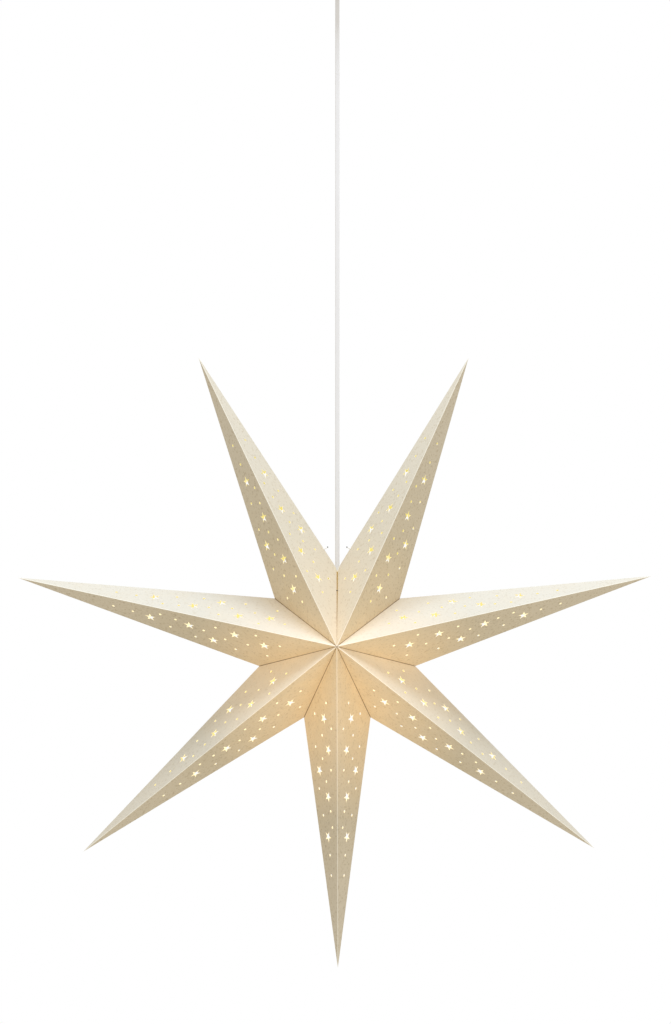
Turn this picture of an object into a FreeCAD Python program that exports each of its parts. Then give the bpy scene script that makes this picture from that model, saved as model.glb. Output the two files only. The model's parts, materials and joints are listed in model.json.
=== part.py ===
"""Seven-pointed folded card star that hangs on a flat flex from a ceiling cup.

Millimetres, +Z up, +X to the right and +Y to the back when the star is seen from the front.
The origin is the middle of the ceiling bar's top face, so z = 0 is the ceiling.
"""
import FreeCAD, Part
import math
import os

Vector = FreeCAD.Vector

# Star shade
star_drop = 870.0            # ceiling to the star's centre
ray_count = 7
tip_radius = 385.0           # star centre to a ray's tip
notch_radius = 96.0          # star centre to the notch between two rays
half_depth = 88.0            # star's mid-plane to its front and back centre
card = 0.5                   # card thickness
flange_width = 12.0          # glue flap along each valley
seam_gap = 1.9               # opening of the top seam at its notch
cord_hole_radius = 3.0       # hole in the top seam for the flex

# Punched pattern, one facet: (share of the ridge's length, share of the facet's width there)
star_holes = [(0.234, 0.44), (0.326, 0.30), (0.400, 0.67), (0.471, 0.39), (0.596, 0.52)]
dot_holes = [
    (0.184, 0.46), (0.257, 0.18), (0.230, 0.75), (0.288, 0.48), (0.331, 0.73), (0.360, 0.52), (0.385, 0.23),
    (0.426, 0.43), (0.457, 0.75), (0.513, 0.31), (0.535, 0.68), (0.561, 0.26), (0.651, 0.49), (0.713, 0.51),
]
star_hole_radius = 7.0       # to a point of the punched star
star_hole_waist = 2.7        # to an inner corner of the punched star
dot_hole_radius = 1.6

# Flat flex and its cores
flex_width = 5.2
flex_thickness = 3.2
core_radius = 1.1
core_offset = 1.2            # a core's distance from the flex's middle

# Seam ties
tie_radius = 0.7             # white coated wire
tie_hole_clearance = 0.3
tie_end_rise = 25.0          # cut ends above the top notch
tie_end_offset = 12.0        # cut ends from the flex
tie_cord_clearance = 2.2     # between the tie and the flex that it passes
staple_radius = 0.4
staple_width = 4.0
staple_leg = 6.0
staple_drop = 28.0           # staples below the top notch's height

# Ceiling bar and canopy cup
canopy_radius = 45.0
canopy_height = 60.0
canopy_wall = 2.0
canopy_corner = 8.0          # rounding of the cup's lower edge
bar_width = 20.0
bar_thickness = 1.6
bar_end_gap = 0.8            # between the corners of the bar's end tabs and the cup
tab_height = 12.0
mount_spacing = 60.0         # between the two ceiling screw holes
mount_hole_radius = 2.5
supply_hole_radius = 7.0     # for the supply wires, in the bar's middle
side_screw_radius = 2.0
side_screw_reach = 3.0       # past the tab
side_screw_head_radius = 4.0
side_screw_head_height = 2.4
thread_clearance = 0.05
hole_clearance = 0.2

# Terminal block
block_width = 24.0
block_depth = 10.0
block_height = 16.0
sleeve_radius = 1.9
sleeve_bore = 1.3
sleeve_spacing = 10.0
clamp_screw_radius = 1.25
clamp_screw_height = 5.0     # from the block's lower face

# Cord grip with its ball
nipple_radius = 5.0
nipple_bore = 3.2
nipple_rise = 8.0            # above the cup's floor
nut_flats = 14.0
nut_height = 4.0
grip_radius = 11.5
grip_flange = 3.5
grip_neck_radius = 9.6
pivot_drop = 12.0            # cup's underside to the ball's centre
ball_radius = 8.0
ball_flat = 6.0              # ball's centre to its top and bottom flats
ball_clearance = 0.1
slot_clearance = 0.25
swing_limit = 12.0           # degrees each way
anchor_width = 24.0
anchor_depth = 14.0
anchor_height = 10.0
anchor_screw_radius = 1.5
anchor_screw_offset = 8.5
sheath_tail = 2.5            # flex's sheath above the anchor and below the lampholder's cap boss

# Lampholder
holder_radius = 15.0
holder_wall = 1.8
cap_top_radius = 7.0
cap_skirt = 16.0             # shoulder to the cap's lower edge
cap_boss = 10.5              # solid top of the cap
seat_clearance = 0.1         # between the cap's cone and the shade's flaps
skirt_length = 38.0
skirt_wall = 3.0
spigot_height = 8.0
ledge_depth = 12.0           # cap's lower edge to the ledge that holds the insulator
skirt_bore = 9.5
insulator_height = 10.0
contact_thickness = 0.6
terminal_offset = 6.5
terminal_screw_radius = 1.5
terminal_head_radius = 2.6
terminal_head_height = 2.0
terminal_screw_depth = 5.0
core_end_depth = 4.8         # cores meet the contacts this far behind their screws
grip_screw_radius = 1.5

# Screw shell and bulb
bulb_cap_radius = 6.95
bulb_cap_length = 18.0
shell_clearance = 0.08
shell_wall = 0.4
shell_length = 21.5
shell_flange_radius = 11.0
shell_flange = 0.5
tip_gap = 2.7                # shell's flange to the bulb's tip
tip_radius_bulb = 2.5
tip_height = 1.4
cap_insulator_radius = 6.0
cap_insulator_height = 1.3
contact_disc_radius = 3.5
contact_disc = 0.5
rivet_radius = 1.5
globe_radius = 22.5
globe_drop = 28.0            # star's centre to the globe's centre
neck_radius = 7.2
neck_fillet = 12.0
glass = 1.0
stem_radius = 3.0
stem_length = 19.0
filament_radius = 0.9
filament_circle = 5.0
filament_length = 32.0
support_radius = 0.4

# Values that follow from the sizes above
notch_angle = 180.0 / ray_count
seam_angle = math.degrees(seam_gap / 2 / notch_radius)
roof_slope = notch_radius / half_depth
flex_half = flex_width / 2
bar_reach = math.sqrt((canopy_radius - canopy_wall - bar_end_gap) ** 2 - (bar_width / 2) ** 2)
side_screw_z = -bar_thickness - tab_height / 2
canopy_floor = -canopy_height + canopy_wall
nipple_top = canopy_floor + nipple_rise
pivot_z = -canopy_height - pivot_drop
anchor_top = nipple_top + anchor_height
block_bottom = -bar_thickness - block_height


def roof(y):
    """Height over the star's centre of the flaps' inner edges, above the middle of the star."""
    edge = math.hypot(notch_radius, half_depth)
    return notch_radius - flange_width * edge / half_depth - roof_slope * abs(y)


cap_top = -star_drop + roof(cap_top_radius) - seat_clearance
cap_shoulder = -star_drop + roof(holder_radius) - seat_clearance
cap_bottom = cap_shoulder - cap_skirt
skirt_bottom = cap_bottom - skirt_length
ledge = cap_bottom - ledge_depth
insulator_bottom = ledge + shell_flange
insulator_top = insulator_bottom + insulator_height
contact_top = insulator_top + contact_thickness
bulb_tip = insulator_bottom - tip_gap
bulb_cap_top = bulb_tip - tip_height - cap_insulator_height
bulb_cap_bottom = bulb_cap_top - bulb_cap_length
globe_centre = -star_drop - globe_drop
holder_bore = holder_radius - skirt_wall


# Shape helpers

def cylinder(radius, low, high, x=0.0, y=0.0):
    return Part.makeCylinder(radius, high - low, Vector(x, y, low))


def tube(outer, inner, low, high, x=0.0, y=0.0):
    return cylinder(outer, low, high, x, y).cut(cylinder(inner, low, high, x, y))


def block(x_low, x_high, y_low, y_high, z_low, z_high):
    corner = Vector(x_low, y_low, z_low)
    return Part.makeBox(x_high - x_low, y_high - y_low, z_high - z_low, corner)


def rod(start, end, radius):
    along = end - start
    return Part.makeCylinder(radius, along.Length, start, along)


def turned(profile):
    """A solid turned about the Z axis from (radius, z) corners."""
    corners = [Vector(radius, 0, z) for radius, z in profile]
    face = Part.Face(Part.makePolygon(corners + corners[:1]))
    return face.revolve(Vector(), Vector(0, 0, 1), 360)


def prism(corners, along):
    return Part.Face(Part.makePolygon(corners + corners[:1])).extrude(along)


def lifted(shape, z):
    shape.translate(Vector(0, 0, z))
    return shape


def pipe(points, radius):
    """A round wire: straight runs joined by tangent arcs, each as large as its runs allow."""
    edges = []
    start = points[0]
    for before, corner, after in zip(points, points[1:], points[2:]):
        inward = (before - corner).normalize()
        outward = (after - corner).normalize()
        half_turn = (math.pi - inward.getAngle(outward)) / 2
        run = 0.45 * min((before - corner).Length, (after - corner).Length)
        bend = run / math.tan(half_turn)
        middle = (inward + outward).normalize()
        arc_middle = corner + middle * (bend / math.cos(half_turn) - bend)
        arc_start = corner + inward * run
        arc_end = corner + outward * run
        edges += [Part.LineSegment(start, arc_start).toShape(), Part.Arc(arc_start, arc_middle, arc_end).toShape()]
        start = arc_end
    edges.append(Part.LineSegment(start, points[-1]).toShape())
    section = Part.Wire(Part.makeCircle(radius, points[0], points[1] - points[0]))
    return Part.Wire(edges).makePipeShell([section], True, False)


def mirrored(points):
    """The points and their mirror images in reverse, across the plane x = 0."""
    return points + [Vector(-p.x, p.y, p.z) for p in reversed(points)]


def flex(low, high, growth=0.0):
    """The flat flex: two rounded sides joined by flats."""
    side = flex_thickness / 2 + growth
    offset = (flex_width - flex_thickness) / 2
    sides = [cylinder(side, low, high, x) for x in (-offset, offset)]
    return block(-offset, offset, -side, side, low, high).fuse(sides).removeSplitter()


# Card shade, modelled about the star's centre

def polar(angle, radius):
    return Vector(radius * math.cos(math.radians(angle)), 0, radius * math.sin(math.radians(angle)))


def wedge(low_angle, high_angle):
    """The outside of one ray that points along +X, between its two valleys."""
    front, back = Vector(0, -half_depth, 0), Vector(0, half_depth, 0)
    tip = Vector(tip_radius, 0, 0)
    low, high = polar(-low_angle, notch_radius), polar(high_angle, notch_radius)
    sides = [
        (front, tip, high), (front, low, tip), (back, high, tip), (back, tip, low),
        (front, high, back), (front, back, low),
    ]
    faces = [Part.Face(Part.makePolygon(list(side) + [side[0]])) for side in sides]
    solid = Part.Solid(Part.Shell(faces))
    if solid.Volume < 0:
        solid.reverse()
    return solid


def hollow(outside):
    """The space inside a solid with flat faces, one card thickness in from each of them."""
    size = 4 * tip_radius
    slabs = []
    for face in outside.Faces:
        outward = face.normalAt(0, 0)
        slab = Part.makeBox(size, size, size, Vector(-size / 2, -size / 2, 0))
        slab.Placement = FreeCAD.Placement(
            face.CenterOfMass - outward * card, FreeCAD.Rotation(Vector(0, 0, 1), outward))
        slabs.append(slab)
    return outside.cut(slabs)


def window(angle):
    """Opens a ray's valley plane, all but a glue flap along its two edges."""
    past_axis = 3.0
    edge = math.hypot(notch_radius, half_depth)
    reach = notch_radius - flange_width * edge / half_depth
    slope = half_depth / notch_radius
    side = (reach + past_axis) * slope
    along = polar(angle, 1)
    across = along.cross(Vector(0, 1, 0)) * (card + 1)
    corners = [along * -past_axis - Vector(0, side, 0), along * reach, along * -past_axis + Vector(0, side, 0)]
    return prism([corner - across for corner in corners], across * 2)


def star_outline(x, y):
    """A five-pointed star about (x, y) with one point towards the ridge."""
    corners = []
    for step in range(10):
        radius = star_hole_waist if step % 2 else star_hole_radius
        angle = math.radians(-90 + 36 * step)
        corners.append(Vector(x + radius * math.cos(angle), y + radius * math.sin(angle), 0))
    return corners


def facet_holes(front_y, notch):
    """The punched pattern of the facet between a centre, a ray's tip and a notch."""
    centre = Vector(0, front_y, 0)
    ridge = Vector(tip_radius, 0, 0) - centre
    along = Vector(ridge).normalize()
    to_notch = notch - centre
    notch_x = to_notch.dot(along)
    across = to_notch - along * notch_x
    notch_y = across.Length
    across.normalize()
    depth = card + 1
    place = FreeCAD.Placement(centre, FreeCAD.Rotation(along, across, along.cross(across), "XYZ"))

    def spot(share_x, share_y):
        x = share_x * ridge.Length
        width = notch_y * min(x / notch_x, (ridge.Length - x) / (ridge.Length - notch_x))
        return x, share_y * width

    tools = []
    for shares in star_holes:
        tools.append(prism(star_outline(*spot(*shares)), Vector(0, 0, 2 * depth)))
    for shares in dot_holes:
        x, y = spot(*shares)
        tools.append(Part.makeCylinder(dot_hole_radius, 2 * depth, Vector(x, y, 0)))
    for tool in tools:
        tool.translate(Vector(0, 0, -depth))
        tool.Placement = place.multiply(tool.Placement)
    return tools


def ray(low_angle, high_angle):
    """One hollow card ray along +X."""
    outside = wedge(low_angle, high_angle)
    tools = [hollow(outside), window(-low_angle), window(high_angle)]
    for front_y in (-half_depth, half_depth):
        for angle in (-low_angle, high_angle):
            tools += facet_holes(front_y, polar(angle, notch_radius))
    return outside.cut(tools)


def turned_ray(shape, angle):
    """A copy of a ray at its angle, counted from +X towards +Z."""
    copy = shape.copy()
    copy.rotate(Vector(), Vector(0, -1, 0), angle)
    return copy


def top_tie(radius):
    """White coated wire through both top rays and in front of the flex, about the star's centre."""
    crossing_y = -(flex_thickness / 2 + tie_cord_clearance + tie_radius)
    crossing_z = roof(crossing_y) + flange_width
    top = notch_radius + tie_end_rise
    left_half = [
        Vector(-tie_end_offset, 0, top),
        Vector(-tie_end_offset - 8, -1, top - 4),
        Vector(-tie_end_offset - 9, -3, top - 16),
        Vector(-tie_end_offset + 2, crossing_y, crossing_z + 3),
    ]
    left_half.append(Vector(-flex_half, crossing_y, crossing_z))
    return pipe(mirrored(left_half), radius)


def seam_staple(side, radius):
    """A small wire staple across the top seam, at the front (side -1) or the back (side +1)."""
    height = notch_radius - staple_drop
    y = side * (half_depth - height / roof_slope)
    outward = Vector(0, side * notch_radius, half_depth).normalize()
    crown = Vector(0, y, height) + outward * staple_radius
    half = Vector(staple_width / 2, 0, 0)
    leg = outward * staple_leg
    return pipe([crown - half - leg, crown - half, crown + half, crown + half - leg], radius)


def shade():
    """All seven rays, the tie and the staples, at their height."""
    plain = ray(notch_angle, notch_angle)
    seamed = ray(notch_angle, notch_angle - seam_angle)
    step = 360.0 / ray_count
    names = ["ray_bottom", "ray_lower_right", "ray_right", "ray_top_right", "ray_top_left", "ray_left",
             "ray_lower_left"]
    pieces = {name: turned_ray(plain, -90 + place * step) for place, name in enumerate(names)}
    right = turned_ray(seamed, -90 + 3 * step)
    grown = tie_radius + tie_hole_clearance
    openings = [
        cylinder(cord_hole_radius, 0, notch_radius + 4 * cord_hole_radius), top_tie(grown),
        seam_staple(-1, staple_radius + thread_clearance), seam_staple(1, staple_radius + thread_clearance),
    ]
    pieces["ray_top_right"] = right.cut(openings)
    pieces["ray_top_left"] = right.mirror(Vector(), Vector(1, 0, 0)).cut(openings)
    pieces["top_tie"] = top_tie(tie_radius)
    pieces["front_seam_staple"] = seam_staple(-1, staple_radius)
    pieces["back_seam_staple"] = seam_staple(1, staple_radius)
    return {name: lifted(piece, -star_drop) for name, piece in pieces.items()}


# Ceiling fitting

def ceiling_bar():
    bar = block(-bar_reach, bar_reach, -bar_width / 2, bar_width / 2, -bar_thickness, 0)
    for side in (-1, 1):
        inner, outer = sorted((side * bar_reach, side * (bar_reach - bar_thickness)))
        bar = bar.fuse(block(inner, outer, -bar_width / 2, bar_width / 2, -bar_thickness - tab_height, 0))
    holes = [cylinder(mount_hole_radius, -bar_thickness, 0, side * mount_spacing / 2) for side in (-1, 1)]
    holes.append(cylinder(supply_hole_radius, -bar_thickness, 0))
    holes.append(rod(Vector(-canopy_radius, 0, side_screw_z), Vector(canopy_radius, 0, side_screw_z),
                     side_screw_radius + thread_clearance))
    return bar.removeSplitter().cut(holes)


def canopy_cup():
    """A deep round cup with a rounded lower edge, open towards the ceiling."""
    outside = cylinder(canopy_radius, -canopy_height, 0)
    inside = cylinder(canopy_radius - canopy_wall, canopy_floor, 0)
    outside = outside.makeFillet(canopy_corner, [lower_edge(outside, -canopy_height)])
    inside = inside.makeFillet(canopy_corner - canopy_wall, [lower_edge(inside, canopy_floor)])
    screw_line = rod(Vector(-canopy_radius, 0, side_screw_z), Vector(canopy_radius, 0, side_screw_z),
                     side_screw_radius + hole_clearance)
    grip_hole = cylinder(nipple_radius + hole_clearance, -canopy_height, canopy_floor)
    return outside.cut([inside, screw_line, grip_hole])


def lower_edge(solid, z):
    return [edge for edge in solid.Edges if abs(edge.BoundBox.ZMax - z) < 1e-6][0]


def canopy_side_screws():
    reach = bar_reach - bar_thickness - side_screw_reach
    screws = []
    for side in (-1, 1):
        shank = rod(Vector(side * reach, 0, side_screw_z), Vector(side * canopy_radius, 0, side_screw_z),
                    side_screw_radius)
        head = rod(Vector(side * canopy_radius, 0, side_screw_z),
                   Vector(side * (canopy_radius + side_screw_head_height), 0, side_screw_z), side_screw_head_radius)
        rim = [edge for edge in head.Edges
               if abs(abs(edge.CenterOfMass.x) - canopy_radius - side_screw_head_height) < 1e-6]
        screws.append(shank.fuse(head.makeChamfer(side_screw_head_height / 4, rim)))
    return Part.makeCompound(screws)


def sleeve_places():
    return [-sleeve_spacing / 2, sleeve_spacing / 2]


def terminal_block():
    body = block(-block_width / 2, block_width / 2, -block_depth / 2, block_depth / 2, block_bottom, -bar_thickness)
    tools = [cylinder(sleeve_radius, block_bottom, -bar_thickness, x) for x in sleeve_places()]
    tools += [clamp_screw(x, thread_clearance) for x in sleeve_places()]
    return body.cut(tools)


def clamp_screw(x, growth=0.0):
    """One small screw that presses on a core in its sleeve, from the front."""
    z = block_bottom + clamp_screw_height
    return rod(Vector(x, -block_depth / 2, z), Vector(x, -core_radius, z), clamp_screw_radius + growth)


def terminal_sleeves():
    sleeves = [tube(sleeve_radius, sleeve_bore, block_bottom, -bar_thickness, x) for x in sleeve_places()]
    return Part.makeCompound([sleeve.cut(clamp_screw(x, thread_clearance))
                              for sleeve, x in zip(sleeves, sleeve_places())])


def terminal_clamp_screws():
    return Part.makeCompound([clamp_screw(x) for x in sleeve_places()])


def ceiling_core(side):
    """One core from the flex's end, up into its brass sleeve."""
    low = anchor_top + sheath_tail
    end = block_bottom + clamp_screw_height + 3
    rise = block_bottom - low
    points = [
        Vector(side * core_offset, 0, low), Vector(side * core_offset, 0, low + rise * 0.3),
        Vector(side * sleeve_spacing / 2, 0, low + rise * 0.75), Vector(side * sleeve_spacing / 2, 0, end),
    ]
    return pipe(points, core_radius)


def anchor_screws(growth=0.0):
    """The two screws that pull the cord anchor's halves together, heads at the front."""
    z = nipple_top + anchor_height / 2
    front = -anchor_depth / 2
    screws = []
    for side in (-1, 1):
        x = side * anchor_screw_offset
        shank = rod(Vector(x, front, z), Vector(x, -front - 1, z), anchor_screw_radius + growth)
        head = rod(Vector(x, front - 2, z), Vector(x, front, z), 2 * anchor_screw_radius)
        screws.append(shank.fuse(head))
    return Part.makeCompound(screws)


def cord_anchor(side):
    """Half of the block that grips the flex above the nipple: front is side -1, back is side +1."""
    low, high = sorted((0, side * anchor_depth / 2))
    half = block(-anchor_width / 2, anchor_width / 2, low, high, nipple_top, anchor_top)
    return half.cut([flex(nipple_top, anchor_top), anchor_screws(thread_clearance)])


def cord_grip_body():
    """Threaded nipple above, neck with the upper half of the ball's seat below."""
    body = cylinder(nipple_radius, -canopy_height, nipple_top)
    body = body.fuse(cylinder(grip_radius, -canopy_height - grip_flange, -canopy_height))
    body = body.fuse(cylinder(grip_neck_radius, pivot_z, -canopy_height - grip_flange)).removeSplitter()
    seat = Part.makeSphere(ball_radius + ball_clearance, Vector(0, 0, pivot_z))
    return body.cut([seat, cylinder(nipple_bore, pivot_z, nipple_top)])


def grip_nut():
    corner = nut_flats / math.sqrt(3)
    outline = [Vector(corner * math.cos(math.radians(60 * side)), corner * math.sin(math.radians(60 * side)),
                      canopy_floor) for side in range(6)]
    nut = prism(outline, Vector(0, 0, nut_height))
    return nut.cut(cylinder(nipple_radius + thread_clearance, canopy_floor, canopy_floor + nut_height))


def socket_ring():
    """Holds the ball up from below, threaded over the grip body's neck."""
    top = -canopy_height - grip_flange
    bottom = pivot_z - ball_flat
    ring = cylinder(grip_radius, bottom, top)
    ring = ring.makeChamfer(1.5, [lower_edge(ring, bottom)])
    seat = Part.makeSphere(ball_radius + ball_clearance, Vector(0, 0, pivot_z))
    return ring.cut([seat, cylinder(grip_neck_radius + thread_clearance, pivot_z, top)])


def swivel_ball():
    """Slotted ball: its upper slot lets it rock side to side, its lower slot lets the flex rock fore and aft."""
    ball = Part.makeSphere(ball_radius, Vector(0, 0, pivot_z))
    ball = ball.common(cylinder(ball_radius, pivot_z - ball_flat, pivot_z + ball_flat))
    lean = math.tan(math.radians(swing_limit))
    reach = ball_radius + 1
    side = flex_half + slot_clearance
    thick = flex_thickness / 2 + 2 * slot_clearance + flex_half * lean / 2
    wide = side + reach * lean + slot_clearance
    deep = thick + reach * lean + slot_clearance
    upper = [Vector(-side, -thick, 0), Vector(-wide, -thick, reach), Vector(wide, -thick, reach),
             Vector(side, -thick, 0)]
    lower = [Vector(-side, -thick, 0), Vector(-side, -deep, -reach), Vector(-side, deep, -reach),
             Vector(-side, thick, 0)]
    slots = [prism(upper, Vector(0, 2 * thick, 0)), prism(lower, Vector(2 * side, 0, 0))]
    return ball.cut([lifted(slot, pivot_z) for slot in slots])


def cord_in_canopy():
    return flex(pivot_z + flex_half + slot_clearance, anchor_top + sheath_tail)


def drop_cord():
    """The hanging flex, rounded at its upper end where it rocks in the ball."""
    straight = flex(cap_top, pivot_z + flex_half)
    knuckle = Part.makeSphere(flex_half, Vector(0, 0, pivot_z))
    return straight.common(knuckle.fuse(cylinder(flex_width, cap_top, pivot_z)))


# Lampholder

def holder_cap():
    """Coned cap: the shade's flaps rest on the cone."""
    cap = turned([(0, cap_bottom), (holder_radius, cap_bottom), (holder_radius, cap_shoulder),
                  (cap_top_radius, cap_top), (0, cap_top)])
    cavity = cylinder(holder_radius - holder_wall, cap_bottom, cap_top - cap_boss)
    return cap.cut([cavity, flex(cap_top - cap_boss, cap_top), grip_screw(thread_clearance)])


def grip_screw(growth=0.0):
    """Side screw in the cap that presses on the flex's edge."""
    z = cap_top - cap_boss / 2
    end = cap_top_radius + cap_boss / 2 / roof_slope - 1
    return rod(Vector(flex_half, 0, z), Vector(end, 0, z), grip_screw_radius + growth)


def holder_skirt():
    """Outer tube of the lampholder, with a spigot that screws into the cap and a ledge inside."""
    skirt = cylinder(holder_radius, skirt_bottom, cap_bottom)
    spigot = cylinder(holder_radius - holder_wall - thread_clearance, cap_bottom, cap_bottom + spigot_height)
    skirt = skirt.makeFillet(skirt_wall / 2, [lower_edge(skirt, skirt_bottom)]).fuse(spigot)
    bore = cylinder(holder_bore, ledge, cap_bottom + spigot_height)
    return skirt.cut([bore, cylinder(skirt_bore, skirt_bottom, ledge)])


def shell_leg(growth=0.0):
    """Where the shell contact passes down through the insulator."""
    outer = shell_flange_radius - 0.4
    return block(-outer - growth, -outer + contact_thickness + growth, -1.5 - growth, 1.5 + growth,
                 insulator_bottom, insulator_top)


def terminal_screws(growth=0.0):
    screws = []
    for side in (-1, 1):
        x = side * terminal_offset
        shank = cylinder(terminal_screw_radius + growth, insulator_top - terminal_screw_depth, contact_top, x)
        screws.append(shank.fuse(cylinder(terminal_head_radius, contact_top, contact_top + terminal_head_height, x)))
    return Part.makeCompound(screws)


def holder_insulator():
    disc = cylinder(holder_bore - thread_clearance, insulator_bottom, insulator_top)
    rivet = cylinder(rivet_radius + thread_clearance, insulator_bottom, insulator_top)
    return disc.cut([rivet, shell_leg(thread_clearance), terminal_screws(thread_clearance)])


def screw_shell():
    inner = bulb_cap_radius + shell_clearance
    shell = cylinder(inner + shell_wall, ledge - shell_length, insulator_bottom)
    shell = shell.fuse(cylinder(shell_flange_radius, ledge, insulator_bottom))
    return shell.cut(cylinder(inner, ledge - shell_length, insulator_bottom))


def contact_plate(x_low, x_high):
    """Flat brass under a terminal screw and a core's end, kept inside the skirt's bore."""
    plate = block(x_low, x_high, -terminal_head_radius, core_end_depth + core_radius + 0.3, insulator_top,
                  contact_top)
    return plate.common(cylinder(holder_bore - hole_clearance, insulator_top, contact_top))


def shell_contact():
    left = -shell_flange_radius + 0.4
    plate = contact_plate(left, -terminal_offset + terminal_head_radius)
    return plate.fuse(shell_leg()).removeSplitter().cut(terminal_screws(thread_clearance))


def centre_contact():
    """Plate, rivet and round contact over the bulb's tip."""
    plate = contact_plate(-rivet_radius - 0.3, terminal_offset + terminal_head_radius)
    plate = plate.cut(terminal_screws(thread_clearance))
    rivet = cylinder(rivet_radius, bulb_tip, contact_top)
    return plate.fuse([rivet, cylinder(contact_disc_radius, bulb_tip, bulb_tip + contact_disc)]).removeSplitter()


def cord_tail():
    return flex(cap_top - cap_boss - sheath_tail, cap_top)


def holder_core(side):
    """One core from the flex's end, down to its contact beside the terminal screw."""
    high = cap_top - cap_boss - sheath_tail
    drop = high - contact_top
    x = side * terminal_offset
    points = [
        Vector(side * core_offset, 0, high), Vector(side * core_offset, 0, high - drop * 0.35),
        Vector(x, core_end_depth, contact_top + drop * 0.4), Vector(x, core_end_depth, contact_top),
    ]
    return pipe(points, core_radius)


# Bulb

def bulb_outline(inset):
    """Neck, blend and globe of the bulb, as edges from the neck's top to the globe's lowest point."""
    globe, neck, blend = globe_radius - inset, neck_radius - inset, neck_fillet + inset
    blend_x = neck + blend
    rise = math.sqrt((globe + blend) ** 2 - blend_x ** 2)
    blend_z = globe_centre + rise
    meet_angle = math.atan2(rise, blend_x)
    half_angle = (math.pi + meet_angle) / 2 + math.pi / 2
    meet = Vector(globe * math.cos(meet_angle), 0, globe_centre + globe * math.sin(meet_angle))
    blend_middle = Vector(blend_x + blend * math.cos(half_angle), 0, blend_z + blend * math.sin(half_angle))
    globe_middle_angle = (meet_angle - math.pi / 2) / 2
    globe_middle = Vector(globe * math.cos(globe_middle_angle), 0,
                          globe_centre + globe * math.sin(globe_middle_angle))
    neck_top, neck_end = Vector(neck, 0, bulb_cap_bottom), Vector(neck, 0, blend_z)
    return [
        Part.LineSegment(neck_top, neck_end).toShape(), Part.Arc(neck_end, blend_middle, meet).toShape(),
        Part.Arc(meet, globe_middle, Vector(0, 0, globe_centre - globe)).toShape(),
    ]


def bulb_glass():
    """Round glass of even thickness, open at its neck."""
    top = [Vector(neck_radius, 0, bulb_cap_bottom), Vector(neck_radius - glass, 0, bulb_cap_bottom)]
    pole = [Vector(0, 0, globe_centre - globe_radius), Vector(0, 0, globe_centre - globe_radius + glass)]
    edges = bulb_outline(0) + bulb_outline(glass)
    edges += [Part.LineSegment(*top).toShape(), Part.LineSegment(*pole).toShape()]
    face = Part.Face(Part.Wire(Part.__sortEdges__(edges)))
    return face.revolve(Vector(), Vector(0, 0, 1), 360)


def bulb_screw_cap():
    cap = cylinder(bulb_cap_radius, bulb_cap_bottom, bulb_cap_top)
    return cap.cut(cylinder(stem_radius, bulb_cap_bottom, bulb_cap_top - shell_wall))


def bulb_stem():
    """Glass stem under the cap."""
    return cylinder(stem_radius, bulb_cap_bottom - stem_length, bulb_cap_top - shell_wall)


filament_top = bulb_cap_bottom - stem_length - support_radius
filament_bottom = filament_top - filament_length


def bulb_filaments():
    places = [(filament_circle, 0), (0, filament_circle), (-filament_circle, 0), (0, -filament_circle)]
    return Part.makeCompound([
        cylinder(filament_radius, filament_bottom + support_radius, filament_top - support_radius, x, y)
        for x, y in places])


def filament_wires():
    """A crossed pair of wires at each end of the filaments, joined by a centre wire."""
    reach = filament_circle + filament_radius
    wires = []
    for z in (filament_top, filament_bottom):
        wires.append(rod(Vector(-reach, 0, z), Vector(reach, 0, z), support_radius))
        wires.append(rod(Vector(0, -reach, z), Vector(0, reach, z), support_radius))
    wires.append(cylinder(support_radius, filament_bottom, filament_top))
    return wires[0].fuse(wires[1:])


def bulb_cap_insulator():
    return turned([(0, bulb_cap_top), (cap_insulator_radius, bulb_cap_top),
                   (tip_radius_bulb, bulb_cap_top + cap_insulator_height), (0, bulb_cap_top + cap_insulator_height)])


def bulb_tip_contact():
    return cylinder(tip_radius_bulb, bulb_tip - tip_height, bulb_tip)


pieces = {
    "ceiling_bar": ceiling_bar(),
    "canopy_cup": canopy_cup(),
    "canopy_side_screws": canopy_side_screws(),
    "terminal_block": terminal_block(),
    "terminal_sleeves": terminal_sleeves(),
    "terminal_clamp_screws": terminal_clamp_screws(),
    "ceiling_core_live": ceiling_core(1),
    "ceiling_core_neutral": ceiling_core(-1),
    "cord_anchor_front": cord_anchor(-1),
    "cord_anchor_back": cord_anchor(1),
    "cord_anchor_screws": anchor_screws(),
    "cord_in_canopy": cord_in_canopy(),
    "cord_grip_body": cord_grip_body(),
    "grip_nut": grip_nut(),
    "socket_ring": socket_ring(),
    "swivel_ball": swivel_ball(),
    "drop_cord": drop_cord(),
    "holder_cap": holder_cap(),
    "holder_skirt": holder_skirt(),
    "holder_grip_screw": grip_screw(),
    "holder_insulator": holder_insulator(),
    "screw_shell": screw_shell(),
    "shell_contact": shell_contact(),
    "centre_contact": centre_contact(),
    "terminal_screws": terminal_screws(),
    "cord_tail": cord_tail(),
    "holder_core_live": holder_core(1),
    "holder_core_neutral": holder_core(-1),
    "bulb_glass": bulb_glass(),
    "bulb_screw_cap": bulb_screw_cap(),
    "bulb_stem": bulb_stem(),
    "bulb_filaments": bulb_filaments(),
    "filament_wires": filament_wires(),
    "bulb_cap_insulator": bulb_cap_insulator(),
    "bulb_tip_contact": bulb_tip_contact(),
}
pieces.update(shade())

os.makedirs("parts", exist_ok=True)
for name, piece in pieces.items():
    piece.exportStep(f"parts/{name}.step")
    print(name, "solids", len(piece.Solids), "volume", round(piece.Volume, 2), "valid", piece.isValid())
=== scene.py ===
"""Looks of a seven-pointed folded card star on its flat flex, lit from inside. Metres, +Z up."""

import json
import math

import bmesh
import bpy
from mathutils import Matrix, Vector, noise
from mathutils.geometry import delaunay_2d_cdt


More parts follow.
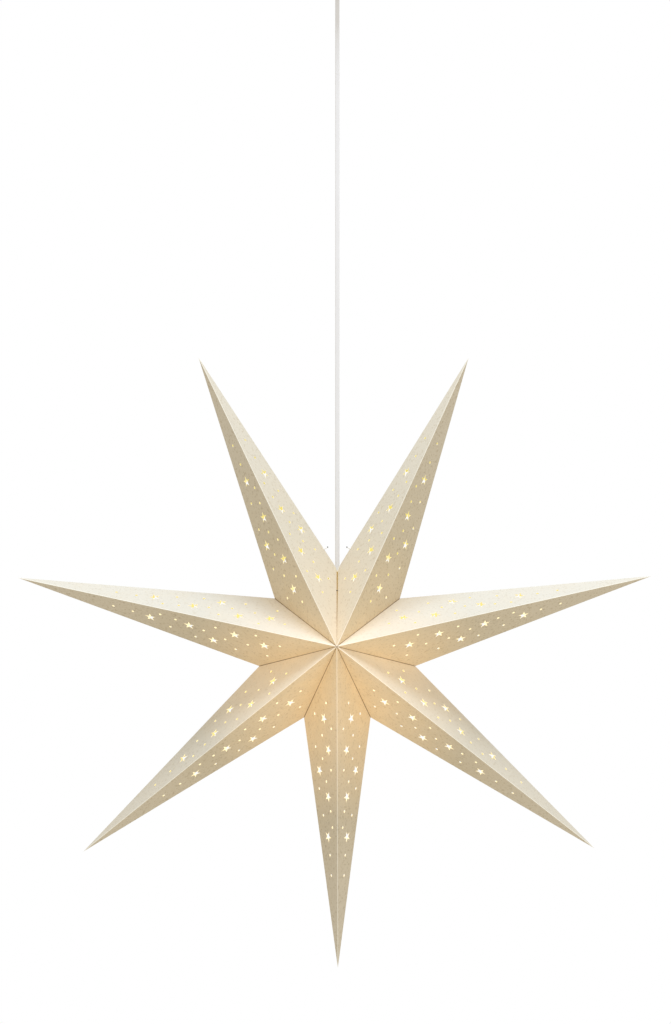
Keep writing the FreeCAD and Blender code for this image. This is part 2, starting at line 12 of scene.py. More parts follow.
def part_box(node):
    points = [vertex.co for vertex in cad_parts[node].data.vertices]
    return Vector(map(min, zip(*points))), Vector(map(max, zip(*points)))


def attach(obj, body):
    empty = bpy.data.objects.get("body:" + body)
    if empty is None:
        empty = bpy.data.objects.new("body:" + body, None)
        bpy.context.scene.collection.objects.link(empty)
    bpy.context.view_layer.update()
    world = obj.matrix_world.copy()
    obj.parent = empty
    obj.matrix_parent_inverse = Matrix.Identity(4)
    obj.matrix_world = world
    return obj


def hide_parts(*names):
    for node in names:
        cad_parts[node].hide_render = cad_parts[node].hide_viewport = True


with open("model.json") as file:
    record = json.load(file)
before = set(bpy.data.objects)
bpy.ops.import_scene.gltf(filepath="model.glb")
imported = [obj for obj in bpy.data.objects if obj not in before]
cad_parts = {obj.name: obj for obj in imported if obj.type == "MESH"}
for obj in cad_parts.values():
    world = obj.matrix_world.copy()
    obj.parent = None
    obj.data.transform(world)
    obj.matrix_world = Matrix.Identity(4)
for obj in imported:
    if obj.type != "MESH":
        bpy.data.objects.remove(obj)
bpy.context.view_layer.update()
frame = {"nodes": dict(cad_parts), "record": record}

MM = 0.001


# ---------------------------------------------------------------- sizes

# Star shade, the sizes of the card it is folded from
STAR_DROP = 870 * MM         # from the ceiling to the star's middle
RAY_NAMES = ("ray_bottom", "ray_lower_right", "ray_right", "ray_top_right", "ray_top_left", "ray_left",
             "ray_lower_left")    # in turn, from straight down towards +X
SEAM_SIDES = {"ray_top_right": 1, "ray_top_left": -1}    # side of a ray that meets the open seam at the flex
TIP_RADIUS = 385 * MM
NOTCH_RADIUS = 96 * MM
HALF_DEPTH = 88 * MM
CARD = 0.5 * MM
FLAP = 12 * MM
SEAM_GAP = 1.9 * MM
VALLEY_GAP = 0.12 * MM       # each ray's share of the dark line along a glued valley
FLAP_TURN = 1.2 * MM         # depth within which two neighbouring flaps come together
CORD_HOLE = 3.0 * MM         # radius of the round opening at the top notch, about the flex

# Hand folding: degrees that a ray's tip leans, from +X towards +Z, and the ray's extra length
TIPS = {
    "ray_bottom": (0.1, -2 * MM), "ray_lower_right": (0.7, 5 * MM), "ray_right": (0.1, 1 * MM),
    "ray_top_right": (1.4, -3 * MM), "ray_top_left": (-0.2, 1 * MM), "ray_left": (0.4, 7 * MM),
    "ray_lower_left": (0.1, 5 * MM),
}
LOW_NOTCHES = ("ray_bottom", "ray_lower_left")    # rays just before the bottom ray's two notches
LOW_NOTCH = 4 * MM           # how much nearer the middle those notches are

# Punched pattern, one facet: (share of the ridge's length, share of the facet's width there)
STAR_HOLES = [(0.234, 0.44), (0.326, 0.30), (0.400, 0.67), (0.471, 0.39), (0.596, 0.52)]
DOT_HOLES = [
    (0.184, 0.46), (0.257, 0.18), (0.230, 0.75), (0.288, 0.48), (0.331, 0.73), (0.360, 0.52), (0.385, 0.23),
    (0.426, 0.43), (0.457, 0.75), (0.513, 0.31), (0.535, 0.68), (0.561, 0.26), (0.651, 0.49), (0.713, 0.51),
]
STAR_POINTS = 5
STAR_HOLE = 7.0 * MM         # radius of a star hole's points
STAR_HOLE_WAIST = 2.7 * MM   # radius of its inner corners
DOT_HOLE = 1.6 * MM          # radius
DOT_SIDES = 20

# Folded card's small unevenness
CREASE_SINK = 0.25 * MM      # how far a fold's edge is rounded off
CREASE_REACH = 0.9 * MM
BOW = 0.9 * MM               # how far a facet bulges or dips in its middle
BOW_SHARES = {-1: -0.25, 1: 0.5}    # share of it on each side of a ray's ridge
WAVE = 0.8 * BOW             # slow waves in a facet
WAVES_PER_METRE = (9, 14)    # about as many, along and across the ridge
WAVE_PLACES = 40             # keeps the waves of the front and the back apart
CENTRE_REACH = 12 * MM       # folds stay sharp this near to the star's middle
TIP_REACH = 15 * MM          # card thins out this near to a ray's tip
TIP_THICKNESS = 0.02         # share of the card's thickness that is left at the very tip

# A facet's mesh
MESH_STEP = 9 * MM           # spacing of its inner points
ROW_SPACING = 0.87           # between rows of them, as a share of the step
RIDGE_ROWS = (0.5 * MM, 1.1 * MM, 2.4 * MM)    # closer rows beside the ridge
RIDGE_SPACING = 0.7          # of their points, as a share of the step
RIDGE_ROW_WIDTH = 0.7        # share of the facet's width that they keep within
HOLE_CLEARANCE = 1.0 * MM    # between inner points and a hole
EDGE_CLEARANCE = 1.5 * MM    # between inner points and the outer edge
OUTER_EDGE = 0.999           # share of the width from which a point counts as on the outer edge
CORD_ARC_STEPS = 8
SAME_SPOT = 1e-7             # flat points nearer than this are one
NO_WIDTH = 1e-9              # stands for the facet's width at its two ends
WELD = 0.002 * MM            # places nearer than this are joined
SLIVER = (0.03 * MM) ** 2    # a triangle of less than about this area is left out
SEAM_MARK = 1.0              # added to a distance from the valley where that valley is the open seam

# Flat flex
FLEX_WIDTH = 5.2 * MM
FLEX_THICKNESS = 3.2 * MM
FLEX_GROOVE = 0.35 * MM      # depth of the line between the two cores
FLEX_GROOVE_REACH = 0.45 * MM    # its half width
FLEX_RINGS = 90
FLEX_SIDES = 40
FLEX_GROOVE_POINTS = (-0.012, -0.005, 0.005, 0.012)    # extra points beside each groove, in turns
FLEX_END_RINGS = 8           # in the upper end, rounded where it rocks in the ball
FLEX_END_ROUND = 0.98        # share of a quarter turn that the rounded end takes
FLEX_END_GAP = 0.1 * MM      # between the hanging flex and the tail that is fixed in the lampholder

# Cut ends of the wire tie
TIE_END = (12 * MM, 25 * MM)    # beside the flex, and above the top notch
TIE_END_RADIUS = 0.85 * MM
TIE_END_TAPER = 0.8
TIE_END_LENGTH = 1.2 * MM
TIE_END_RISE = 0.5           # upwards for each unit towards the flex
TIE_END_SIDES = 20

NOTCH_ANGLE = 180 / len(RAY_NAMES)
PATTERN_LENGTH = math.hypot(TIP_RADIUS, HALF_DEPTH)    # ridge of a ray with no extra length
STAR_CENTRE = Vector((0, 0, -STAR_DROP))
BULB_CENTRE = Vector((0, 0, -STAR_DROP - 28 * MM))
HOLDER_SHADE = 60 * MM       # height above the star's middle where the lampholder shades the card most
CORD_HALF_CUT = math.sqrt(CORD_HOLE ** 2 - (SEAM_GAP / 2) ** 2)    # half of the cord hole's length on a seam

# Camera, at the photograph's viewing angle
PHOTO_SIZE = (671, 1024)     # pixels
PHOTO_CENTRE = (337.3, 648.3)    # pixel where the star's middle is seen
PHOTO_SCALE = 1.198 * MM     # metres for each pixel at the star's mid-plane
CAMERA_DISTANCE = 3.6
CAMERA_ASIDE = 25 * MM       # right of the star's middle
CAMERA_BELOW = 85 * MM       # below the star's middle
CAMERA_SENSOR = 36           # millimetres, as Blender counts a sensor
CAMERA_REACH = 50            # metres that it sees

# Light and floor
TOP_LIGHT = {"place": (0.23, -0.66, 2.2), "aim": STAR_CENTRE, "size": 1.6, "power": 89,
             "colour": (0.74, 0.83, 1.0)}
LOW_FILL = {"place": (0.9, -0.8, -1.75), "aim": (-0.1, 0, -1.1), "size": 0.8, "power": 1.6,
            "colour": (1.0, 0.95, 0.86)}
ROOM_LIGHT = 0.88
FLOOR_HEIGHT = -3.0
FLOOR_RADIUS = 6
FLOOR_SIDES = 96


# ---------------------------------------------------------------- camera

def add_camera():
    data = bpy.data.cameras.new("camera")
    data.sensor_fit = "VERTICAL"
    data.sensor_height = CAMERA_SENSOR
    tall = PHOTO_SIZE[1] * PHOTO_SCALE
    data.lens = data.sensor_height * CAMERA_DISTANCE / tall
    data.shift_y = (PHOTO_CENTRE[1] - PHOTO_SIZE[1] / 2) / PHOTO_SIZE[1] + CAMERA_BELOW / tall
    data.shift_x = (PHOTO_SIZE[0] / 2 - PHOTO_CENTRE[0]) / PHOTO_SIZE[1] - CAMERA_ASIDE / tall
    data.clip_end = CAMERA_REACH
    camera = bpy.data.objects.new("camera", data)
    camera.location = STAR_CENTRE + Vector((CAMERA_ASIDE, -CAMERA_DISTANCE, -CAMERA_BELOW))
    camera.rotation_euler = (math.radians(90), 0, 0)
    bpy.context.collection.objects.link(camera)
    bpy.context.scene.camera = camera


add_camera()
bpy.context.scene.view_settings.view_transform = "Standard"


# ---------------------------------------------------------------- materials

class Nodes:
    """A small builder for shader node trees."""

    def __init__(self, name):
        self.material = bpy.data.materials.new(name)
        self.material.use_nodes = True
        self.tree = self.material.node_tree
        self.tree.nodes.clear()
        self.output = self.tree.nodes.new("ShaderNodeOutputMaterial")

    def add(self, kind, inputs=None, **settings):
        node = self.tree.nodes.new(kind)
        for key, value in settings.items():
            setattr(node, key, value)
        for key, value in (inputs or {}).items():
            self.give(node.inputs[key], value)
        return node

    def give(self, socket, value):
        if isinstance(value, bpy.types.NodeSocket):
            self.tree.links.new(value, socket)
        elif hasattr(value, "outputs"):
            self.tree.links.new(value.outputs[0], socket)
        else:
            socket.default_value = value

    def maths(self, operation, a, b=0.0):
        return self.add("ShaderNodeMath", {0: a, 1: b}, operation=operation).outputs[0]

    def times(self, a, b):
        return self.maths("MULTIPLY", a, b)

    def ramp(self, value, low, high, low_to=0.0, high_to=1.0, smooth=True):
        """The value's place between low and high, as a number from low_to to high_to."""
        kind = "SMOOTHSTEP" if smooth else "LINEAR"
        node = self.add("ShaderNodeMapRange", {0: value, 1: low, 2: high, 3: low_to, 4: high_to},
                        interpolation_type=kind)
        return node.outputs[0]

    def mix(self, share, a, b):
        node = self.add("ShaderNodeMix", data_type="RGBA", blend_type="MIX")
        self.give(node.inputs[0], share)
        self.give(node.inputs[6], a)
        self.give(node.inputs[7], b)
        return node.outputs[2]

    def noise(self, where, scale, detail=3.0, roughness=0.5):
        return self.add("ShaderNodeTexNoise", {"Vector": where, "Scale": scale, "Detail": detail,
                                               "Roughness": roughness}).outputs["Fac"]

    def stretched(self, where, scale):
        return self.add("ShaderNodeMapping", {0: where, "Scale": scale}).outputs[0]

    def part(self, vector, axis):
        return self.add("ShaderNodeSeparateXYZ", {0: vector}).outputs[axis]

    def uv(self, layer):
        return self.add("ShaderNodeUVMap", uv_map=layer).outputs[0]

    def place(self):
        return self.add("ShaderNodeTexCoord").outputs["Object"]

    def height(self):
        return self.part(self.place(), "Z")

    def facing_up(self):
        """The face's own normal along +Z: 1 facing up, -1 facing down."""
        return self.part(self.add("ShaderNodeTexCoord").outputs["Normal"], "Z")

    def bulb_distance(self):
        """Metres from the bulb's middle. A ray's object sits at the origin, so its place is in its mesh."""
        return self.add("ShaderNodeVectorMath", {0: self.place(), 1: tuple(BULB_CENTRE)},
                        operation="DISTANCE").outputs["Value"]

    def bump(self, height, distance, strength):
        return self.add("ShaderNodeBump", {"Height": height, "Distance": distance,
                                           "Strength": strength}).outputs[0]

    def surface(self, **inputs):
        """The finished material: one principled shader with the named inputs."""
        named = {name.replace("_", " "): value for name, value in inputs.items()}
        shader = self.add("ShaderNodeBsdfPrincipled", named)
        self.give(self.output.inputs["Surface"], shader)
        return self.material


def rgb(red, green, blue):
    return (red, green, blue, 1.0)


def darker(colour, share):
    return tuple(channel * share for channel in colour[:3]) + (1.0,)


def card_outside():
    """Uncoated speckled card, with a painted highlight along its ridge folds, painted shadow in its valley
    creases, and the bulb's warm light coming through it.
    """
    nodes = Nodes("card_outside")
    place = nodes.place()
    flat = nodes.uv("flat")
    from_fold = nodes.part(flat, "Y")
    from_valley = nodes.part(nodes.uv("edges"), "X")
    away = nodes.bulb_distance()
    facing = nodes.facing_up()
    upward = nodes.ramp(facing, 0.1, 0.8)

    # Card, with painted warm light near the bulb, a painted highlight where it faces up, and painted light
    # that lifts the shade in the side rays' upper valleys
    paper = nodes.mix(nodes.ramp(away, 0.10, 0.34), rgb(0.56, 0.47, 0.305), rgb(0.55, 0.49, 0.37))
    paper = nodes.mix(upward, paper, rgb(0.585, 0.56, 0.475))
    by_valley = nodes.ramp(from_valley, 2 * MM, 26 * MM, 0.45, 0.0)
    painted_valley_light = nodes.times(nodes.ramp(facing, 0.57, 0.65), by_valley)
    paper = nodes.mix(painted_valley_light, paper, rgb(0.80, 0.75, 0.62))

    # Clouds, grain, dark specks and linen threads; the specks fade where it faces up, as part of the painted
    # highlight
    cloud = nodes.noise(place, 24, 3, 0.5)
    grain = nodes.noise(place, 900, 4, 0.6)
    fleck = nodes.noise(place, 330, 2, 0.5)
    linen = nodes.noise(nodes.stretched(flat, (90, 1300, 1)), 1.0, 2.0)
    specks = nodes.times(nodes.ramp(fleck, 0.55, 0.68), nodes.ramp(upward, 0.0, 1.0, 0.65, 0.25))
    paper = nodes.mix(nodes.times(nodes.ramp(cloud, 0.35, 0.65), 0.25), paper, rgb(0.60, 0.53, 0.40))
    paper = nodes.mix(nodes.times(nodes.ramp(grain, 0.42, 0.62), 0.4), paper, rgb(0.64, 0.58, 0.46))
    paper = nodes.mix(specks, paper, rgb(0.40, 0.33, 0.21))
    paper = nodes.mix(nodes.times(nodes.ramp(linen, 0.45, 0.6), 0.2), paper, rgb(0.66, 0.60, 0.46))
    weave = nodes.maths("ADD", nodes.times(grain, 0.5), nodes.times(linen, 0.5))

    # Painted highlight along the ridge, and painted shadow in the crease along the valley
    fold = nodes.ramp(from_fold, 0.3 * MM, 1.3 * MM, 1.0, 0.0)
    crease_shadow = nodes.ramp(from_valley, 0.1 * MM, 0.8 * MM, 1.0, 0.0)
    paper = nodes.mix(nodes.times(fold, 0.75), paper, rgb(0.86, 0.83, 0.72))
    paper = nodes.mix(nodes.times(crease_shadow, 0.75), paper, rgb(0.20, 0.11, 0.035))

    # Light through the card: less where it is thick, under the lampholder and in the crease
    near = nodes.ramp(away, 0.06, 0.18, 0.29, 0.0, smooth=False)
    thick = nodes.ramp(nodes.noise(place, 60, 4, 0.65), 0.3, 0.7, 0.86, 1.12, smooth=False)
    under_holder = nodes.ramp(nodes.height(), STAR_CENTRE.z, STAR_CENTRE.z + HOLDER_SHADE, 1.0, 0.5)
    glow = nodes.times(nodes.times(near, thick), under_holder)
    glow = nodes.times(glow, nodes.maths("SUBTRACT", 1.0, nodes.times(crease_shadow, 0.7)))
    return nodes.surface(Base_Color=paper, Roughness=0.72, Specular_IOR_Level=0.35, Sheen_Weight=0.08,
                         Normal=nodes.bump(weave, 0.12 * MM, 0.5), Emission_Color=rgb(1.0, 0.60, 0.25),
                         Emission_Strength=glow)


def card_inside():
    """The card's inner face, with the bulb's light painted on as glow: pale where it faces up, yellow where
    it faces down or is high.
    """
    nodes = Nodes("card_inside")
    place = nodes.place()
    patch = nodes.maths("SUBTRACT", nodes.noise(place, 120, 2), 0.5)
    high = nodes.ramp(nodes.height(), STAR_CENTRE.z + 20 * MM, STAR_CENTRE.z + 130 * MM, 0.0, 0.9)
    pale = nodes.maths("SUBTRACT", nodes.maths("ADD", nodes.facing_up(), nodes.times(patch, 2.0)), high)
    colour = nodes.mix(nodes.ramp(pale, -0.75, 0.25), rgb(0.64, 0.57, 0.15), rgb(1.0, 0.90, 0.62))

    # Painted shade beside the open seam, darker and golden there; its points have SEAM_MARK added to their
    # distance from the valley
    from_valley = nodes.part(nodes.uv("edges"), "X")
    from_seam = nodes.maths("ABSOLUTE", nodes.maths("SUBTRACT", from_valley, SEAM_MARK))
    colour = nodes.mix(nodes.ramp(from_seam, 4 * MM, 8 * MM, 1.0, 0.0), colour, rgb(0.42, 0.27, 0.07))
    strength = nodes.ramp(nodes.bulb_distance(), 0.02, 0.40, 1.1, 0.82, smooth=False)
    texture = nodes.ramp(nodes.noise(place, 500, 3), 0.3, 0.7, 0.92, 1.08, smooth=False)
    return nodes.surface(Base_Color=rgb(0.30, 0.26, 0.18), Roughness=0.8, Emission_Color=colour,
                         Emission_Strength=nodes.times(strength, texture))


def card_edge():
    """The cut edge of a punched hole, bright with the light from inside."""
    nodes = Nodes("card_edge")
    strength = nodes.ramp(nodes.bulb_distance(), 0.03, 0.38, 0.3, 0.1, smooth=False)
    return nodes.surface(Base_Color=rgb(0.90, 0.85, 0.74), Roughness=0.8, Emission_Color=rgb(1.0, 0.86, 0.56),
                         Emission_Strength=strength)


def card_flap(name, paper, light, strength):
    """A glue flap, seen only as the line between two rays: its dark colour is painted shade in the gap, and
    its glow is painted light from the bulb.
    """
    nodes = Nodes(name)
    mottle = nodes.ramp(nodes.noise(nodes.place(), 200, 3), 0.3, 0.7, 0.8, 1.15, smooth=False)
    lit = nodes.ramp(nodes.bulb_distance(), 0.03, 0.20, strength, strength * 0.45, smooth=False)
    return nodes.surface(Base_Color=paper, Roughness=0.85, Emission_Color=light,
                         Emission_Strength=nodes.times(lit, mottle))


def moulded(name, colour, roughness=0.35, grain=900, depth=0.03 * MM, variation=0.08):
    """Plain moulded plastic or vinyl with a faint grain."""
    nodes = Nodes(name)
    place = nodes.place()
    fine = nodes.noise(place, grain, 3)
    wide = nodes.ramp(nodes.noise(place, 40, 2), 0.3, 0.7)
    return nodes.surface(Base_Color=nodes.mix(wide, darker(colour, 1 - variation), colour),
                         Roughness=nodes.ramp(fine, 0.3, 0.7, roughness - 0.05, roughness + 0.08),
                         Normal=nodes.bump(fine, depth, 0.4))


def metal(name, colour, roughness):
    """Metal with fine brushed lines and slight smudges."""
    nodes = Nodes(name)
    place = nodes.place()
    lines = nodes.noise(nodes.stretched(place, (40, 40, 900)), 1.0, 3)
    smudge = nodes.ramp(nodes.noise(place, 120, 3), 0.35, 0.7)
    return nodes.surface(Base_Color=nodes.mix(smudge, colour, darker(colour, 0.8)), Metallic=1.0,
                         Roughness=nodes.ramp(lines, 0.3, 0.7, roughness - 0.08, roughness + 0.12),
                         Normal=nodes.bump(lines, 0.02 * MM, 0.4))


def glazed():
    nodes = Nodes("glazed_porcelain")
    cloud = nodes.noise(nodes.place(), 90, 3)
    colour = nodes.mix(nodes.ramp(cloud, 0.35, 0.7), rgb(0.86, 0.84, 0.78), rgb(0.91, 0.90, 0.86))
    return nodes.surface(Base_Color=colour, Roughness=0.12, Coat_Weight=0.6,
                         Normal=nodes.bump(cloud, 0.05 * MM, 0.3))


def lit_glass():
    """Frosted bulb glass, glowing more strongly at its lower, round end."""
    nodes = Nodes("lit_bulb_glass")
    frost = nodes.noise(nodes.place(), 700, 2)
    hot = nodes.ramp(nodes.height(), BULB_CENTRE.z - 30 * MM, BULB_CENTRE.z + 45 * MM, 1.0, 0.35)
    return nodes.surface(Base_Color=rgb(1.0, 0.95, 0.85), Roughness=nodes.ramp(frost, 0.3, 0.7, 0.2, 0.35),
                         Emission_Color=rgb(1.0, 0.80, 0.45), Emission_Strength=nodes.times(hot, 5.0))


def stem_glass():
    nodes = Nodes("stem_glass")
    ripple = nodes.noise(nodes.place(), 150, 2)
    return nodes.surface(Base_Color=rgb(0.95, 0.97, 0.96), Roughness=0.05, Transmission_Weight=1.0,
                         Normal=nodes.bump(ripple, 0.05 * MM, 0.3))


def filament():
    nodes = Nodes("glowing_filament")
    chips = nodes.noise(nodes.place(), 1500, 1)
    return nodes.surface(Base_Color=rgb(1.0, 0.75, 0.3), Roughness=0.5, Emission_Color=rgb(1.0, 0.62, 0.22),
                         Emission_Strength=nodes.ramp(chips, 0.35, 0.65, 6.0, 12.0))


CARD_OUTSIDE, CARD_INSIDE, CARD_EDGE = card_outside(), card_inside(), card_edge()
GLUED_FLAP = card_flap("glued_flap", rgb(0.22, 0.14, 0.06), rgb(1.0, 0.55, 0.15), 0.08)
OPEN_FLAP = card_flap("open_flap", rgb(0.38, 0.26, 0.09), rgb(1.0, 0.58, 0.14), 0.13)
FLEX_VINYL = moulded("flex_vinyl", rgb(0.77, 0.77, 0.77), 0.38, 700, 0.05 * MM, 0.02)
WIRE_END = metal("wire_end", rgb(0.10, 0.09, 0.08), 0.45)
SLOT_LOOKS = {
    "zinc_steel": metal("zinc_steel", rgb(0.50, 0.50, 0.48), 0.4),
    "white_plastic": moulded("white_plastic", rgb(0.66, 0.66, 0.64), 0.4),
    "white_holder": moulded("white_holder", rgb(0.88, 0.88, 0.84)),
    "natural_nylon": moulded("natural_nylon", rgb(0.80, 0.79, 0.73), 0.5, 600, 0.06 * MM),
    "brass": metal("brass", rgb(0.80, 0.60, 0.28), 0.28),
    "white_flex": FLEX_VINYL,
    "brown_core": moulded("brown_core", rgb(0.22, 0.10, 0.05), 0.4),
    "blue_core": moulded("blue_core", rgb(0.06, 0.20, 0.55), 0.4),
    "porcelain": glazed(),
    "bulb_glass": lit_glass(),
    "stem_glass": stem_glass(),
    "glowing_filament": filament(),
    "bulb_metal": metal("bulb_metal", rgb(0.75, 0.74, 0.70), 0.22),
    "black_insulator": moulded("black_insulator", rgb(0.02, 0.02, 0.02), 0.15, 300, 0.01 * MM),
    "cream_card": CARD_OUTSIDE,
    "white_tie": moulded("tie_coating", rgb(0.90, 0.90, 0.88), 0.4, 900, 0.05 * MM),
    "dark_steel": WIRE_END,
}
slot_of = {part["node"]: part["material_slot"] for part in frame["record"]["subparts"]}
for node_name, node_object in frame["nodes"].items():
    node_object.data.materials.clear()
    node_object.data.materials.append(SLOT_LOOKS[slot_of[node_name]])


def new_piece(name, mesh, materials):
    piece = bpy.data.objects.new(name, mesh)
    for material in materials:
        mesh.materials.append(material)
    bpy.context.collection.objects.link(piece)
    return piece


# ---------------------------------------------------------------- flat flex

def flex_section(turn):
    """A point of the flex's section: two round cores side by side with a groove between them."""
    side = FLEX_THICKNESS / 2
    offset = (FLEX_WIDTH - FLEX_THICKNESS) / 2
    angle = 2 * math.pi * turn
    x, y = math.cos(angle) * side, math.sin(angle) * side
    x += offset if x > 0 else -offset
    groove = math.exp(-(x / FLEX_GROOVE_REACH) ** 2)
    return x, y * (1 - groove * FLEX_GROOVE / side)


def straight_route(top, bottom):
    """The points along a NURBS curve between two ends that are pulled tight."""
    curve = bpy.data.curves.new("flex_route", "CURVE")
    curve.dimensions = "3D"
    spline = curve.splines.new("NURBS")
    spline.points.add(2)
    for point, share in zip(spline.points, (0, 0.5, 1)):
        point.co = (*top.lerp(bottom, share), 1)
    spline.order_u = 3
    spline.use_endpoint_u = True
    spline.resolution_u = FLEX_RINGS
    holder = bpy.data.objects.new("flex_route", curve)
    bpy.context.collection.objects.link(holder)
    bpy.context.view_layer.update()
    mesh = bpy.data.meshes.new_from_object(holder)
    points = [vertex.co.copy() for vertex in mesh.vertices]
    bpy.data.objects.remove(holder)
    return points


def flex_rings(pivot, route):
    """Flat outlines of the flex from its rounded upper end down: a list of points for each height."""
    turns = {step / FLEX_SIDES for step in range(FLEX_SIDES)}
    turns |= {groove + beside for groove in (0.25, 0.75) for beside in FLEX_GROOVE_POINTS}
    section = [flex_section(turn) for turn in sorted(turns)]
    rings = []
    for step in range(FLEX_END_RINGS, 0, -1):
        slope = FLEX_END_ROUND * math.pi / 2 * step / FLEX_END_RINGS
        reach = FLEX_WIDTH / 2 * math.cos(slope)
        z = pivot + FLEX_WIDTH / 2 * math.sin(slope)
        shares = [min(1, reach / math.hypot(x, y)) for x, y in section]
        rings.append([(x * share, y * share, z) for (x, y), share in zip(section, shares)])
    return rings + [[(x, y, place.z) for x, y in section] for place in route]


def drop_flex():
    low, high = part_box("drop_cord")
    pivot = high.z - FLEX_WIDTH / 2
    bottom = low.z + FLEX_END_GAP
    route = straight_route(Vector((0, 0, pivot)), Vector((0, 0, bottom)))
    shell = bmesh.new()
    rings = [[shell.verts.new(spot) for spot in ring] for ring in flex_rings(pivot, route)]
    for upper, lower in zip(rings, rings[1:]):
        for k in range(len(upper)):
            n = (k + 1) % len(upper)
            shell.faces.new((upper[k], upper[n], lower[n], lower[k]))
    shell.faces.new(list(reversed(rings[0])))
    shell.faces.new(rings[-1])
    bmesh.ops.recalc_face_normals(shell, faces=shell.faces)
    mesh = bpy.data.meshes.new("hanging_flex")
    shell.to_mesh(mesh)
    shell.free()
    for face in mesh.polygons:
        face.use_smooth = len(face.vertices) == 4
    piece = new_piece("hanging_flex", mesh, [FLEX_VINYL])
    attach(piece, "flex")
    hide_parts("drop_cord")


drop_flex()


# ---------------------------------------------------------------- cut ends of the tie

def tie_ends():
    """The dark cut end of the tie's steel core, at each side of the flex."""
    shell = bmesh.new()
    for side in (-1, 1):
        place = STAR_CENTRE + Vector((side * TIE_END[0], 0, NOTCH_RADIUS + TIE_END[1]))
        along = Vector((-side, 0, TIE_END_RISE)).normalized()
        turn = along.to_track_quat("Z", "Y").to_matrix().to_4x4()
        bmesh.ops.create_cone(shell, cap_ends=True, segments=TIE_END_SIDES, radius1=TIE_END_RADIUS,
                              radius2=TIE_END_RADIUS * TIE_END_TAPER, depth=TIE_END_LENGTH,
                              matrix=Matrix.Translation(place + along * TIE_END_LENGTH / 2) @ turn)
    mesh = bpy.data.meshes.new("tie_cut_ends")
    shell.to_mesh(mesh)
    shell.free()
    piece = new_piece("tie_cut_ends", mesh, [WIRE_END])
    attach(piece, "lantern")


tie_ends()


# ---------------------------------------------------------------- card shade

# A face's material is its place in this list. Its inner side takes the next place, and its rim the one after.
RAY_MATERIALS = [CARD_OUTSIDE, CARD_INSIDE, CARD_EDGE, GLUED_FLAP, OPEN_FLAP, CARD_INSIDE]
FACE, GLUED, OPEN = 0, 3, 4


def polar(angle, radius):
    return Vector((radius * math.cos(math.radians(angle)), 0, radius * math.sin(math.radians(angle))))


def star_outline(x, y):
    """A five-pointed star about (x, y) with one point towards the ridge."""
    corners = []
    for step in range(2 * STAR_POINTS):
        radius = STAR_HOLE_WAIST if step % 2 else STAR_HOLE
        angle = math.radians(-90 + 180 / STAR_POINTS * step)
        corners.append(Vector((x + radius * math.cos(angle), y + radius * math.sin(angle))))
    return corners


def dot_outline(x, y):
    return [Vector((x + DOT_HOLE * math.cos(2 * math.pi * k / DOT_SIDES),
                    y + DOT_HOLE * math.sin(2 * math.pi * k / DOT_SIDES))) for k in range(DOT_SIDES)]


def inside(point, outline):
    """Whether a flat point is inside a closed outline."""
    found = False
    for a, b in zip(outline, outline[1:] + outline[:1]):
        if (a.y > point.y) != (b.y > point.y):
            if point.x < a.x + (point.y - a.y) * (b.x - a.x) / (b.y - a.y):
                found = not found
    return found


def along_line(a, b, step):
    """Evenly spaced flat points from a up to, but without, b."""
    count = max(1, round((b - a).length / step))
    return [a.lerp(b, k / count) for k in range(count)]


